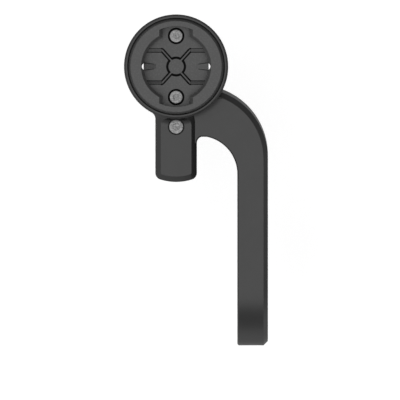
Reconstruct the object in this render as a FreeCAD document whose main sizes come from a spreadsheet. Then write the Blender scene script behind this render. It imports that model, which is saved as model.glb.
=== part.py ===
import FreeCAD, Part
import math
import os
import re
import Sketcher

# Handlebar mount for a bike computer, in millimetres. The origin is on the bar's axis at the
# middle of the clamp, +X runs along the bar, +Y points forward and +Z points up.

# Driving dimensions: alias, value, what it is.
SIZES = [
    # clamp
    ("bar_diameter", 31.8, "handlebar at the clamp"),
    ("liner_thickness", 0.8, "anti-slip liner between jaw and bar"),
    ("liner_inset", 0.3, "liner's side edge behind the jaw's side"),
    ("jaw_wall", 6.8, "upper jaw outside the liner"),
    ("jaw_split", 1.2, "gap between the two jaws"),
    ("jaw_root", 5.0, "fillet between jaw and arm underside"),
    ("lower_wall", 4.5, "lower jaw outside the liner"),
    ("ear_depth", 8.0, "lower jaw's bolt ears below the split"),
    ("ear_round", 2.5, "lower corner of the ears"),
    ("bolt_offset", 19.5, "clamp bolt from the bar axis"),
    ("bolt_radius", 1.5, "M3 clamp bolt"),
    ("bolt_length", 16.0, "M3 clamp bolt under its head"),
    ("bolt_head_radius", 2.75, "M3 socket cap head"),
    ("bolt_head_height", 3.0, "M3 socket cap head"),
    ("bolt_socket", 2.5, "hexagon key of the cap head, across flats"),
    ("spotface_radius", 3.2, "room for the washer on the ear"),
    ("washer_radius", 3.0, "M3 washer outside"),
    ("washer_hole", 1.6, "M3 washer hole radius"),
    ("washer_thickness", 0.5, "M3 washer"),
    ("thread_gap", 0.05, "radial gap between screw and threaded hole"),
    ("screw_gap", 0.15, "radial gap between screw and clearance hole"),
    ("tip_gap", 0.6, "free depth past a screw's tip"),
    # arm
    ("arm_width", 11.8, "arm and clamp, along the bar"),
    ("arm_depth", 8.0, "arm, top to underside"),
    ("outer_bend", 27.0, "radius of the bend's outer side"),
    ("outer_start", 50.1, "where the outer bend leaves the straight"),
    ("outer_lean", 1.8, "how far the outer bend's wall leans in at the top"),
    ("inner_bend", 14.7, "radius of the bend's inner side"),
    ("inner_start", 42.5, "where the inner bend leaves the straight"),
    ("crotch_radius", 2.6, "fillet between bend and tongue"),
    ("arm_bevel", 1.7, "bevel on the arm's outer top edge"),
    ("arm_ease", 0.5, "bevel on the arm's inner top edge"),
    ("underside_bevel", 0.6, "bevel on the underside's edges"),
    # head and tongue
    ("head_offset", 29.5, "head centre to the left of the clamp"),
    ("head_reach", 84.0, "head centre ahead of the bar"),
    ("head_wall", 1.55, "head's wall round the insert"),
    ("head_rise", 4.6, "head rim above the tongue"),
    ("head_edge", 0.7, "bevel on the head's top edge"),
    ("seat_bevel", 0.3, "bevel on the edge of the insert's seat"),
    ("tongue_root", 3.5, "fillet between head wall and tongue top"),
    ("arm_root", 2.6, "how far the arm's root fillet reaches from the head wall"),
    ("arm_root_rise", 0.7, "how high that fillet meets the head wall"),
    ("root_length", 7.0, "length of both root fillets' blocks"),
    ("root_sink", 0.5, "arm root's block below the arm's top"),
    ("root_inset", 0.15, "arm root's side inside the bevel's upper edge"),
    ("tongue_rise", 1.4, "tongue above the arm"),
    ("tongue_width", 16.0, "tongue"),
    ("tongue_length", 44.5, "tongue end behind the head centre"),
    ("tongue_end_bow", 20.5, "radius of the tongue's bowed end"),
    ("tongue_corner", 2.7, "plan corner of the tongue"),
    ("tongue_bevel", 2.1, "bevel on the tongue's top edge"),
    ("neck_radius", 2.8, "plan fillet between head and tongue"),
    ("seat_ledge", 2.5, "ledge under the insert, outside the lightening windows"),
    ("bridge_width", 10.0, "bridge between the windows"),
    ("window_corner", 2.0, "corner of a window"),
    # quarter-turn insert
    ("insert_wall", 2.8, "insert's wall outside the groove under the lip"),
    ("insert_fit", 0.05, "radial gap round the insert"),
    ("insert_proud", 0.5, "insert above the head rim"),
    ("insert_bevel", 1.0, "width of the bevel on the insert's top edge"),
    ("insert_bevel_depth", 1.4, "depth of that bevel"),
    ("insert_floor", 3.2, "insert's floor"),
    ("recess_depth", 4.3, "insert's top face to its floor"),
    ("recess_radius", 12.5, "hole in the lip"),
    ("lip_thickness", 1.8, "lip that holds the computer's tabs"),
    ("lead_in", 1.0, "width of the bevel round the hole in the lip"),
    ("lead_depth", 1.7, "depth of that bevel"),
    ("lip_overhang", 3.2, "lip over the groove under it"),
    ("notch_half", 5.2, "half width of a tab notch"),
    ("notch_lead", 1.3, "bevel on a tab notch's sides"),
    ("notch_land", 0.1, "outer end of a tab notch inside the groove's wall"),
    ("wing_drop", 0.8, "side fields below the floor"),
    ("wing_half", 5.4, "half width of a side field"),
    ("ramp_width", 1.4, "ramp beside a side field"),
    ("ramp_inner", 5.4, "inner end of the ramps"),
    ("boss_radius", 2.95, "centre disc"),
    ("ring_width", 0.9, "ring groove round the centre disc"),
    ("groove_width", 0.6, "grooves beside the four ribs"),
    ("groove_depth", 2.0, "ring and rib grooves"),
    ("rib_width", 0.55, "four diagonal ribs"),
    ("rib_angle", 48.0, "diagonal ribs from the X axis, in degrees"),
    ("rib_offset", 0.2, "ribs' middle lines from the centre, away from the X axis"),
    ("wedge_length", 4.85, "detent wedge, from its nose to its heel"),
    ("wedge_overlap", 0.1, "wedge's heel under the lip"),
    ("wedge_nose", 1.5, "wedge width at its inner end"),
    ("wedge_heel", 2.7, "wedge width at its outer end"),
    ("wedge_rise", 1.9, "wedge height at its outer end"),
    ("slit_reach", 0.65, "outer side of a detent slit under the lip"),
    ("slit_width", 1.8, "detent slit"),
    ("insert_screw_inset", 3.9, "insert screw inside the wall of the groove"),
    ("insert_head_radius", 2.5, "M3 low head"),
    ("insert_head_height", 1.8, "M3 low head"),
    ("insert_head_sink", 0.4, "head below the insert's floor"),
    ("insert_screw_length", 6.0, "M3 low head screw under its head"),
    ("insert_socket", 2.0, "hexagon key of the low head"),
    ("counterbore_radius", 3.2, "counterbores of the visible screws"),
    # accessory adapter under the tongue
    ("adapter_screw_reach", 23.2, "adapter screw behind the head centre"),
    ("adapter_screw_length", 10.0, "M3 cap screw under its head"),
    ("adapter_screw_sink", 0.4, "head below the tongue's top"),
    ("key_width", 8.0, "key between adapter and tongue"),
    ("key_height", 1.5, "key between adapter and tongue"),
    ("key_gap", 0.05, "gap round the key"),
    ("key_inset", 2.0, "key's ends inside the base's ends"),
    ("adapter_base", 3.5, "adapter's base plate"),
    ("adapter_length", 23.5, "adapter's base"),
    ("adapter_set", 5.7, "adapter's front end ahead of its screw"),
    ("finger_radius", 7.5, "fork fingers"),
    ("finger_thickness", 3.0, "left and middle finger"),
    ("nut_finger", 3.6, "right finger, with the nut"),
    ("finger_gap", 3.2, "slot between fingers"),
    ("pivot_radius", 2.6, "hole through the fork and its M5 nut"),
    ("pivot_drop", 8.3, "pivot below the adapter's base"),
    ("nut_flats", 8.0, "M5 thin nut across flats"),
    ("nut_thickness", 2.5, "M5 thin nut"),
    ("nut_gap", 0.05, "gap round the nut"),
]

doc = FreeCAD.newDocument("bike_computer_mount")
sheet = doc.addObject("Spreadsheet::Sheet", "Sizes")
for row, (alias, value, note) in enumerate(SIZES, start=1):
    sheet.set("A%d" % row, str(value))
    sheet.set("B%d" % row, note)
    sheet.setAlias("A%d" % row, alias)
doc.recompute()

aliases = {alias for alias, value, note in SIZES}

# Sizes that follow from the driving ones: the insert from the hole in its lip, the head from
# the insert and the adapter from its screw.
DERIVED = {
    "undercut_radius": "(recess_radius + lip_overhang)",
    "notch_radius": "(undercut_radius - notch_land)",
    "insert_radius": "(undercut_radius + insert_wall)",
    "insert_screw_offset": "(undercut_radius - insert_screw_inset)",
    "wedge_outer": "(recess_radius + wedge_overlap)",
    "wedge_inner": "(wedge_outer - wedge_length)",
    "slit_radius": "(recess_radius + slit_reach)",
    "head_radius": "(insert_radius + insert_fit + head_wall)",
    "window_radius": "(insert_radius - seat_ledge)",
    "adapter_front": "(head_reach - adapter_screw_reach + adapter_set)",
    "adapter_rear": "(adapter_front - adapter_length)",
}


def cells(text):
    """Turn size names in an expression into references to the sheet."""
    def refer(word):
        name = word.group()
        return cells(DERIVED[name]) if name in DERIVED else "Sizes." * (name in aliases) + name
    return re.sub(r"[a-z_]+[a-z]", refer, text)


def number(text):
    """Value of an expression in size names."""
    result = sheet.evalExpression(cells(str(text)))
    return float(getattr(result, "Value", result))


# Places that several pieces share, as expressions.
BORE = "(bar_diameter / 2 + liner_thickness)"
ARM_TOP = "(bar_diameter / 2 + liner_thickness + jaw_wall)"
ARM_BOTTOM = "(%s - arm_depth)" % ARM_TOP
TONGUE_TOP = "(%s + tongue_rise)" % ARM_TOP
HEAD_TOP = "(%s + head_rise)" % TONGUE_TOP
INSERT_TOP = "(%s + insert_proud)" % HEAD_TOP
SEAT = "(%s - recess_depth - insert_floor)" % INSERT_TOP
FLOOR = "(%s - recess_depth)" % INSERT_TOP
HEAD_X = "(-head_offset)"
HALF_SPLIT = "(jaw_split / 2)"
EAR_BOTTOM = "(-jaw_split / 2 - ear_depth)"
BOLT_SEAT = "(%s - washer_thickness)" % EAR_BOTTOM
PIVOT_Z = "(%s - adapter_base - pivot_drop)" % ARM_BOTTOM
PIVOT_Y = "(adapter_rear + finger_radius)"
SCREW_Y = "(head_reach - adapter_screw_reach)"
KEY_REAR = "(adapter_rear + key_inset)"
KEY_FRONT = "(adapter_front - key_inset)"
FORK = "(2 * finger_thickness + nut_finger + 2 * finger_gap)"


def origin_plane(body, role):
    return next(item for item in body.Origin.OriginFeatures if item.Role == role)


def new_body(name, place=("0", "0", "0")):
    """A PartDesign body whose own frame sits at a place worked out from the sizes."""
    body = doc.addObject("PartDesign::Body", name)
    body.Label = name
    for axis, text in zip("xyz", place):
        body.setExpression("Placement.Base." + axis, cells(text))
    return body


def new_sketch(body, name, role="XY_Plane", lift="0"):
    sketch = body.newObject("Sketcher::SketchObject", name)
    sketch.AttachmentSupport = (origin_plane(body, role), [""])
    sketch.MapMode = "FlatFace"
    sketch.setExpression("AttachmentOffset.Base.z", cells(lift))
    return sketch


def constrain(sketch, kind, *args):
    """Add a constraint whose value, the last argument, is an expression."""
    text = args[-1]
    index = sketch.addConstraint(Sketcher.Constraint(kind, *args[:-1], number(text)))
    sketch.setExpression("Constraints[%d]" % index, cells(text))


def locate(sketch, item, end, x, y):
    """Hold a point of the sketch at x, y."""
    for kind, axis, text in (("DistanceX", -2, x), ("DistanceY", -1, y)):
        if text == "0":
            sketch.addConstraint(Sketcher.Constraint("PointOnObject", item, end, axis))
        else:
            constrain(sketch, kind, -1, 1, item, end, text)


def add_circle(sketch, x, y, radius):
    centre = FreeCAD.Vector(number(x), number(y), 0)
    item = sketch.addGeometry(Part.Circle(centre, FreeCAD.Vector(0, 0, 1), number(radius)))
    locate(sketch, item, 3, x, y)
    constrain(sketch, "Radius", item, radius)


def arc_between(start, end, radius, side):
    """Arc of a radius from start to end that bulges left (1) or right (-1) of the way there."""
    chord = end - start
    left = FreeCAD.Vector(-chord.y, chord.x, 0).normalize() * side
    half = chord.Length / 2
    bulge = radius - math.sqrt(max(radius * radius - half * half, 0))
    return Part.Arc(start, (start + end) * 0.5 + left * bulge, end)


def add_outline(sketch, corners, arcs=None):
    """Closed outline through corners; arcs maps a side's number to (radius, bulge side)."""
    arcs = arcs or {}
    points = [FreeCAD.Vector(number(x), number(y), 0) for x, y in corners]
    items = []
    for index, start in enumerate(points):
        end = points[(index + 1) % len(points)]
        if index in arcs:
            radius, side = arcs[index]
            items.append(sketch.addGeometry(arc_between(start, end, number(radius), side)))
            constrain(sketch, "Radius", items[-1], radius)
        else:
            items.append(sketch.addGeometry(Part.LineSegment(start, end)))
    ends = []
    for item, start in zip(items, points):
        near = (sketch.getPoint(item, 1) - start).Length < (sketch.getPoint(item, 2) - start).Length
        ends.append((1, 2) if near else (2, 1))
    for index, item in enumerate(items):
        after = (index + 1) % len(items)
        sketch.addConstraint(Sketcher.Constraint("Coincident", item, ends[index][1],
                                                 items[after], ends[after][0]))
        locate(sketch, item, ends[index][0], *corners[index])


def add_box(sketch, x_low, x_high, y_low, y_high):
    add_outline(sketch, [(x_low, y_low), (x_high, y_low), (x_high, y_high), (x_low, y_high)])


def add_hexagon(sketch, flats):
    """Hexagon round the origin, with corners on the X axis."""
    reach = "(%s / sqrt(3))" % flats
    corners = [(reach, "0"), (reach + " / 2", flats + " / 2"), ("-" + reach + " / 2", flats + " / 2"),
               ("-" + reach, "0"), ("-" + reach + " / 2", "-" + flats + " / 2"),
               (reach + " / 2", "-" + flats + " / 2")]
    add_outline(sketch, corners)


def pad(body, sketch, length, symmetric=False, reverse=False):
    feature = body.newObject("PartDesign::Pad", sketch.Name + "_pad")
    feature.Profile = sketch
    feature.setExpression("Length", cells(length))
    feature.SideType = "Symmetric" if symmetric else "One side"
    feature.Reversed = reverse
    return finish(body, feature)


def pocket(body, sketch, depth, symmetric=False, upward=False):
    """Cut against the sketch's normal, or along it where upward is set."""
    before = body.Shape.Volume
    feature = body.newObject("PartDesign::Pocket", sketch.Name + "_cut")
    feature.Profile = sketch
    feature.setExpression("Length", cells(depth))
    feature.SideType = "Symmetric" if symmetric else "One side"
    feature.Reversed = upward
    finish(body, feature)
    if body.Shape.Volume > before - 1e-6:
        raise ValueError("cut removes nothing: " + feature.Name)
    return feature


def revolve(body, sketch, cut=False):
    """Turn a profile in the XZ plane all the way round the body's Z axis."""
    kind = "PartDesign::Groove" if cut else "PartDesign::Revolution"
    feature = body.newObject(kind, sketch.Name + "_turn")
    feature.Profile = sketch
    feature.ReferenceAxis = (origin_plane(body, "Z_Axis"), [""])
    feature.Angle = 360
    return finish(body, feature)


def loft(body, lower, upper, cut=False):
    kind = "PartDesign::SubtractiveLoft" if cut else "PartDesign::AdditiveLoft"
    feature = body.newObject(kind, lower.Name + "_loft")
    feature.Profile = lower
    feature.Sections = [upper]
    feature.Ruled = True
    return finish(body, feature)


def bevel(body, edges, size):
    """Chamfer the edges of the body's last feature that a test picks."""
    base = body.Tip
    names = ["Edge%d" % (index + 1) for index, edge in enumerate(base.Shape.Edges) if edges(edge)]
    if not names:
        raise ValueError("no edge found for the %s of %s" % (size, body.Name))
    feature = body.newObject("PartDesign::Chamfer", body.Name + "_bevel")
    feature.Base = (base, names)
    feature.setExpression("Size", cells(size))
    return finish(body, feature)


def finish(body, feature):
    doc.recompute()
    if "Invalid" in feature.State or "Error" in feature.State or feature.Shape.isNull():
        raise ValueError("feature failed: " + feature.Name)
    body.Tip = feature
    doc.recompute()
    return feature


def samples(edge):
    return [edge.valueAt(edge.FirstParameter + (edge.LastParameter - edge.FirstParameter) * part)
            for part in (0.0, 0.25, 0.5, 0.75, 1.0)]


def all_near(edge, distance, tolerance=0.002):
    """True where every sampled point of the edge has a distance of zero."""
    return all(abs(distance(point)) < tolerance for point in samples(edge))


def bend_outline(sketch, outer_start):
    """Plan of the bend: outer arc into the head, inner arc and crotch fillet into the tongue."""
    half = "arm_width / 2"
    outer_x = "(%s - outer_bend)" % half
    inner_x = "(-%s - inner_bend)" % half
    wall_x = "(%s + tongue_width / 2)" % HEAD_X
    crotch_x = "(%s + crotch_radius)" % wall_x
    across = "(%s - %s)" % (crotch_x, inner_x)
    crotch_y = "(inner_start + sqrt((inner_bend - crotch_radius)^2 - %s^2))" % across
    meet_scale = "(inner_bend / (inner_bend - crotch_radius))"
    meet = ("%s + %s * %s" % (inner_x, across, meet_scale),
            "inner_start + (%s - inner_start) * %s" % (crotch_y, meet_scale))
    bend_end = ("%s + outer_bend * cos(78)" % outer_x, "%s + outer_bend * sin(78)" % outer_start)
    corners = [("-" + half, "inner_start"), (half, "inner_start"), (half, outer_start), bend_end,
               (HEAD_X, "head_reach - head_radius + 4"), (HEAD_X, crotch_y), (wall_x, crotch_y), meet]
    add_outline(sketch, corners, {2: ("outer_bend", -1), 6: ("crotch_radius", 1),
                                  7: ("inner_bend", 1)})


def make_arm():
    """Upper jaw, straight arm and bend, with the bevels along their edges."""
    body = new_body("arm_body")
    profile = new_sketch(body, "arm_profile", "YZ_Plane")
    split_outer = "sqrt(%s^2 - %s^2)" % (ARM_TOP, HALF_SPLIT)
    split_inner = "sqrt(%s^2 - %s^2)" % (BORE, HALF_SPLIT)
    root_z = "(%s - jaw_root)" % ARM_BOTTOM
    root_y = "sqrt((%s + jaw_root)^2 - %s^2)" % (ARM_TOP, root_z)
    touch = "(%s / (%s + jaw_root))" % (ARM_TOP, ARM_TOP)
    corners = [("-" + split_outer, HALF_SPLIT), ("0", ARM_TOP), ("inner_start", ARM_TOP),
               ("inner_start", ARM_BOTTOM), (root_y, ARM_BOTTOM),
               ("%s * %s" % (root_y, touch), "%s * %s" % (root_z, touch)),
               (split_outer, HALF_SPLIT), (split_inner, HALF_SPLIT), ("0", BORE),
               ("-" + split_inner, HALF_SPLIT)]
    add_outline(profile, corners, {0: (ARM_TOP, 1), 4: ("jaw_root", -1), 5: (ARM_TOP, 1),
                                   7: (BORE, -1), 8: (BORE, -1)})
    pad(body, profile, "arm_width", symmetric=True)
    lower = new_sketch(body, "bend_foot", lift=ARM_BOTTOM)
    bend_outline(lower, "outer_start")
    upper = new_sketch(body, "bend_top", lift=ARM_TOP)
    bend_outline(upper, "(outer_start - outer_lean)")
    loft(body, lower, upper)

    half, top, jaw = number("arm_width / 2"), number(ARM_TOP), number(ARM_TOP)
    bend_x, bend_y = number("arm_width / 2 - outer_bend"), number("outer_start - outer_lean")
    inner_x, inner_y = number("-arm_width / 2 - inner_bend"), number("inner_start")

    def on_top(point):
        return point.z - top if point.y > 0 else math.hypot(point.y, point.z) - jaw

    def outer_edge(edge):
        side = all_near(edge, lambda point: point.x - half)
        bend = all_near(edge, lambda point: math.hypot(point.x - bend_x, point.y - bend_y)
                        - number("outer_bend"))
        return all_near(edge, on_top) and (side or bend)

    def inner_edge(edge):
        side = all_near(edge, lambda point: point.x + half)
        bend = all_near(edge, lambda point: math.hypot(point.x - inner_x, point.y - inner_y)
                        - number("inner_bend"))
        return all_near(edge, on_top) and (side or bend)

    bevel(body, outer_edge, "arm_bevel")
    bevel(body, inner_edge, "arm_ease")

    foot, foot_y = number(ARM_BOTTOM), number("outer_start")
    arcs = [(bend_x, foot_y, number("outer_bend")), (inner_x, inner_y, number("inner_bend"))]

    def foot_edge(edge):
        bend = any(all_near(edge, lambda point: math.hypot(point.x - x, point.y - y) - radius)
                   for x, y, radius in arcs)
        side = all_near(edge, lambda point: abs(point.x) - half)
        return all_near(edge, lambda point: point.z - foot) and (side or bend)

    bevel(body, foot_edge, "underside_bevel")
    return body


def make_tongue():
    """Tongue behind the head, flared into the head's round wall on both sides."""
    body = new_body("tongue_form", (HEAD_X, "head_reach", ARM_BOTTOM))
    plan = new_sketch(body, "tongue_plan")
    half = "tongue_width / 2"
    flare_x = "(%s + neck_radius)" % half
    flare_y = "sqrt((head_radius + neck_radius)^2 - %s^2)" % flare_x
    touch = "(head_radius / (head_radius + neck_radius))"
    corner_x = "(%s - tongue_corner)" % half
    bow = "(tongue_end_bow - tongue_corner)"
    corner_y = "(tongue_length - tongue_end_bow + sqrt(%s^2 - %s^2))" % (bow, corner_x)
    bow_scale = "(tongue_end_bow / %s)" % bow
    end_x = "(%s * %s)" % (corner_x, bow_scale)
    bow_y = "(tongue_length - tongue_end_bow)"
    end_y = "(%s + (%s - %s) * %s)" % (bow_y, corner_y, bow_y, bow_scale)
    root_x = "%s * %s" % (flare_x, touch)
    root_y = "-%s * %s" % (flare_y, touch)
    corners = [("0", "-head_radius / 2"), ("-" + root_x, root_y), ("-" + half, "-" + flare_y),
               ("-" + half, "-" + corner_y), ("-" + end_x, "-" + end_y), (end_x, "-" + end_y),
               (half, "-" + corner_y), (half, "-" + flare_y), (root_x, root_y)]
    add_outline(plan, corners, {1: ("neck_radius", 1), 3: ("tongue_corner", -1),
                                4: ("tongue_end_bow", -1), 5: ("tongue_corner", -1),
                                7: ("neck_radius", 1)})
    pad(body, plan, "arm_depth + tongue_rise")
    top = number("arm_depth + tongue_rise")
    inner = number("-" + flare_y) + 0.5 + number(flare_y + " + " + root_y)
    bevel(body, lambda edge: all_near(edge, lambda point: point.z - top)
          and min(point.y for point in samples(edge)) < inner
          and max(point.y for point in samples(edge)) < number(root_y) + 0.01, "tongue_bevel")
    bevel(body, lambda edge: all_near(edge, lambda point: point.z)
          and max(point.y for point in samples(edge)) < number(root_y) + 0.01, "underside_bevel")
    return body


def make_head():
    """Round head that carries the insert."""
    body = new_body("head_form", (HEAD_X, "head_reach", ARM_BOTTOM))
    plan = new_sketch(body, "head_plan")
    add_circle(plan, "0", "0", "head_radius")
    height = "%s - %s" % (HEAD_TOP, ARM_BOTTOM)
    pad(body, plan, height)
    bevel(body, lambda edge: all_near(edge, lambda point: point.z - number(height)), "head_edge")
    bevel(body, lambda edge: all_near(edge, lambda point: point.z), "underside_bevel")
    return body


def make_root(name, corners, arcs, top, sink, reach, rise):
    """Concave fillet from a top face up to the head's wall, in a block that starts below the
    face and whose sides go on upwards at the slope of the bevel."""
    body = new_body(name, (HEAD_X, "head_reach", "%s - %s" % (top, sink)))
    plan = new_sketch(body, name + "_plan")
    add_outline(plan, corners, arcs)
    block = pad(body, plan, "%s + %s" % (sink, rise))
    block.TaperAngle = -45
    finish(body, block)
    profile = new_sketch(body, name + "_profile", "XZ_Plane")
    far = "(2 * head_radius)"
    high = "(%s + %s)" % (sink, rise)
    radius = "((%s^2 + %s^2) / (2 * %s))" % (reach, rise, rise)
    add_outline(profile, [("head_radius", high), ("head_radius + " + reach, sink), (far, sink),
                          (far, high + " + 1"), ("head_radius", high + " + 1")], {0: (radius, -1)})
    revolve(body, profile, cut=True)
    return body


def make_roots():
    """Root fillets of the tongue and of the arm."""
    half = "tongue_width / 2"
    flare_x = "(%s + neck_radius)" % half
    flare_y = "sqrt((head_radius + neck_radius)^2 - %s^2)" % flare_x
    touch = "(head_radius / (head_radius + neck_radius))"
    end = "-(head_radius + root_length)"
    root_x, root_y = "%s * %s" % (flare_x, touch), "-%s * %s" % (flare_y, touch)
    corners = [("0", "-head_radius / 2"), ("-" + root_x, root_y), ("-" + half, "-" + flare_y),
               ("-" + half, end), (half, end), (half, "-" + flare_y), (root_x, root_y)]
    tongue = make_root("tongue_root_form", corners, {1: ("neck_radius", 1), 5: ("neck_radius", 1)},
                       TONGUE_TOP, "tongue_bevel", "tongue_root", "tongue_root")
    bend_x = "(arm_width / 2 - outer_bend + head_offset)"
    bend_y = "(outer_start - outer_lean - head_reach)"
    side = "(outer_bend - arm_bevel - root_inset + root_sink)"
    corner_x, corner_y = "%s + %s * cos(45)" % (bend_x, side), "%s + %s * sin(45)" % (bend_y, side)
    rear = "min(%s; %s - root_sink)" % (end, corner_y)
    corners = [("0", "-head_radius / 2"), ("0", rear), (corner_x, rear), (corner_x, corner_y),
               ("%s + %s * cos(78)" % (bend_x, side), "%s + %s * sin(78)" % (bend_y, side))]
    arm = make_root("arm_root_form", corners, {3: (side, -1)}, ARM_TOP, "root_sink", "arm_root",
                    "arm_root_rise")
    return [tongue, arm]


def cut_circles(body, name, lift, places, radius, depth, upward=False):
    """One pocket of round holes at the places."""
    sketch = new_sketch(body, name, lift=lift)
    for x, y in places:
        add_circle(sketch, x, y, radius)
    return pocket(body, sketch, depth, upward=upward)


def cut_windows(body):
    """Two D-shaped windows under the insert, either side of the bridge."""
    sketch = new_sketch(body, "windows", lift=ARM_BOTTOM)
    edge = "bridge_width / 2"
    corner_x = "(bridge_width / 2 + window_corner)"
    corner_y = "sqrt((window_radius - window_corner)^2 - %s^2)" % corner_x
    scale = "(window_radius / (window_radius - window_corner))"
    for sign, turn in (("", 1), ("-", -1)):
        x_edge = "%s %s %s" % (HEAD_X, sign or "+", edge)
        x_round = "%s %s %s * %s" % (HEAD_X, sign or "+", corner_x, scale)
        corners = [(x_edge, "head_reach - " + corner_y), (x_edge, "head_reach + " + corner_y),
                   (x_round, "head_reach + %s * %s" % (corner_y, scale)),
                   (x_round, "head_reach - %s * %s" % (corner_y, scale))]
        add_outline(sketch, corners, {1: ("window_corner", turn), 2: ("window_radius", turn),
                                      3: ("window_corner", turn)})
    pocket(body, sketch, "%s - %s" % (SEAT, ARM_BOTTOM), upward=True)


def make_arm_body():
    """The one-piece body: clamp, arm, tongue and head in one, then every cut."""
    body = make_arm()
    forms = [make_tongue(), make_head()] + make_roots()
    joined = body.newObject("PartDesign::Boolean", "one_piece")
    joined.setObjects(forms)
    joined.Type = "Fuse"
    finish(body, joined)

    head, seat = [(HEAD_X, "head_reach")], "(insert_radius + insert_fit)"
    cut_circles(body, "insert_seat", HEAD_TOP, head, seat, "%s - %s" % (HEAD_TOP, SEAT))
    centre_x, centre_y, rim = number(HEAD_X), number("head_reach"), number(HEAD_TOP)

    def seat_edge(edge):
        circle = all_near(edge, lambda point: math.hypot(point.x - centre_x, point.y - centre_y)
                          - number(seat))
        return circle and all_near(edge, lambda point: point.z - rim)

    bevel(body, seat_edge, "seat_bevel")
    cut_windows(body)
    screws = [(HEAD_X, "head_reach + insert_screw_offset"), (HEAD_X, "head_reach - insert_screw_offset")]
    cut_circles(body, "insert_threads", SEAT, screws, "bolt_radius + thread_gap",
                "insert_screw_length - insert_floor + insert_head_sink + insert_head_height + tip_gap")
    adapter = [(HEAD_X, SCREW_Y)]
    cut_circles(body, "adapter_counterbore", HEAD_TOP, adapter, "counterbore_radius",
                "head_rise + adapter_screw_sink + bolt_head_height")
    cut_circles(body, "adapter_clearance", TONGUE_TOP, adapter, "bolt_radius + screw_gap",
                "tongue_rise + arm_depth")
    key = new_sketch(body, "key_groove", lift=ARM_BOTTOM)
    add_box(key, HEAD_X + " - key_width / 2 - key_gap", HEAD_X + " + key_width / 2 + key_gap",
            KEY_REAR + " - key_gap", KEY_FRONT + " + key_gap")
    pocket(body, key, "key_height + key_gap", upward=True)
    cut_circles(body, "clamp_threads", HALF_SPLIT, [("0", "bolt_offset"), ("0", "-bolt_offset")],
                "bolt_radius + thread_gap",
                "bolt_length - washer_thickness - ear_depth - jaw_split + tip_gap", upward=True)
    return body


def half_ring(sketch, outer, inner, sign):
    """Half ring above (1) or below (-1) the split, from an outer to an inner radius."""
    mark = "" if sign > 0 else "-"
    outer_y, inner_y = ("sqrt((%s)^2 - %s^2)" % (radius, HALF_SPLIT) for radius in (outer, inner))
    level = mark + HALF_SPLIT
    corners = [("-" + outer_y, level), ("0", mark + outer), (outer_y, level), (inner_y, level),
               ("0", mark + inner), ("-" + inner_y, level)]
    add_outline(sketch, corners, {0: (outer, sign), 1: (outer, sign), 3: (inner, -sign),
                                  4: (inner, -sign)})


def make_liner(name, sign):
    body = new_body(name)
    profile = new_sketch(body, name + "_profile", "YZ_Plane")
    half_ring(profile, BORE, "(bar_diameter / 2)", sign)
    pad(body, profile, "arm_width - 2 * liner_inset", symmetric=True)
    return body


def make_lower_jaw():
    """Lower half ring with two bolt ears, bevelled like the arm on its outer side."""
    body = new_body("lower_jaw")
    profile = new_sketch(body, "lower_profile", "YZ_Plane")
    ear, ring = ARM_TOP, "(%s + lower_wall)" % BORE
    inner_y = "sqrt(%s^2 - %s^2)" % (BORE, HALF_SPLIT)
    meet_y = "sqrt(%s^2 - %s^2)" % (ring, EAR_BOTTOM)
    level = "-" + HALF_SPLIT
    corners = [("-" + ear, level), ("-" + ear, EAR_BOTTOM + " + ear_round"),
               ("-%s + ear_round" % ear, EAR_BOTTOM), ("-" + meet_y, EAR_BOTTOM), ("0", "-" + ring),
               (meet_y, EAR_BOTTOM), (ear + " - ear_round", EAR_BOTTOM),
               (ear, EAR_BOTTOM + " + ear_round"), (ear, level), (inner_y, level), ("0", "-" + BORE),
               ("-" + inner_y, level)]
    add_outline(profile, corners, {1: ("ear_round", -1), 3: (ring, -1), 4: (ring, -1),
                                   6: ("ear_round", -1), 9: (BORE, 1), 10: (BORE, 1)})
    pad(body, profile, "arm_width", symmetric=True)
    half, bore, split = number("arm_width / 2"), number(BORE), number(level)

    def rim(edge, side):
        return (all_near(edge, lambda point: point.x - side * half)
                and not all_near(edge, lambda point: math.hypot(point.y, point.z) - bore)
                and not all_near(edge, lambda point: point.z - split))

    places = [("0", "bolt_offset"), ("0", "-bolt_offset")]
    cut_circles(body, "bolt_holes", level, places, "bolt_radius + screw_gap", "ear_depth")
    cut_circles(body, "spotfaces", EAR_BOTTOM, places, "spotface_radius", ring + " - ear_depth")
    bevel(body, lambda edge: rim(edge, 1), "arm_bevel")
    bevel(body, lambda edge: rim(edge, -1), "arm_ease")
    return body


def make_screw(name, place, radius, height, length, socket, turned=False):
    """Socket screw with its origin under the head and its shank along -Z."""
    body = new_body(name, place)
    if turned:
        body.Placement.Rotation = FreeCAD.Rotation(FreeCAD.Vector(1, 0, 0), 180)
    profile = new_sketch(body, name + "_profile", "XZ_Plane")
    add_outline(profile, [("0", "-" + length), ("bolt_radius", "-" + length), ("bolt_radius", "0"),
                          (radius, "0"), (radius, height), ("0", height)])
    revolve(body, profile)
    key = new_sketch(body, name + "_socket", lift=height)
    add_hexagon(key, socket)
    pocket(body, key, height + " / 2")
    return body


def make_washer(name, place):
    body = new_body(name, place)
    plan = new_sketch(body, name + "_plan")
    add_circle(plan, "0", "0", "washer_radius")
    add_circle(plan, "0", "0", "washer_hole")
    pad(body, plan, "washer_thickness")
    return body


def polar(along, across, sign_x, sign_y):
    """Point at a distance along a diagonal rib and across it, in one quarter of the floor."""
    aside = "(rib_offset + %s)" % across
    x = "%s(%s * cos(rib_angle) - %s * sin(rib_angle))" % (sign_x, along, aside)
    y = "%s(%s * sin(rib_angle) + %s * cos(rib_angle))" % (sign_y, along, aside)
    return x, y


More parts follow.
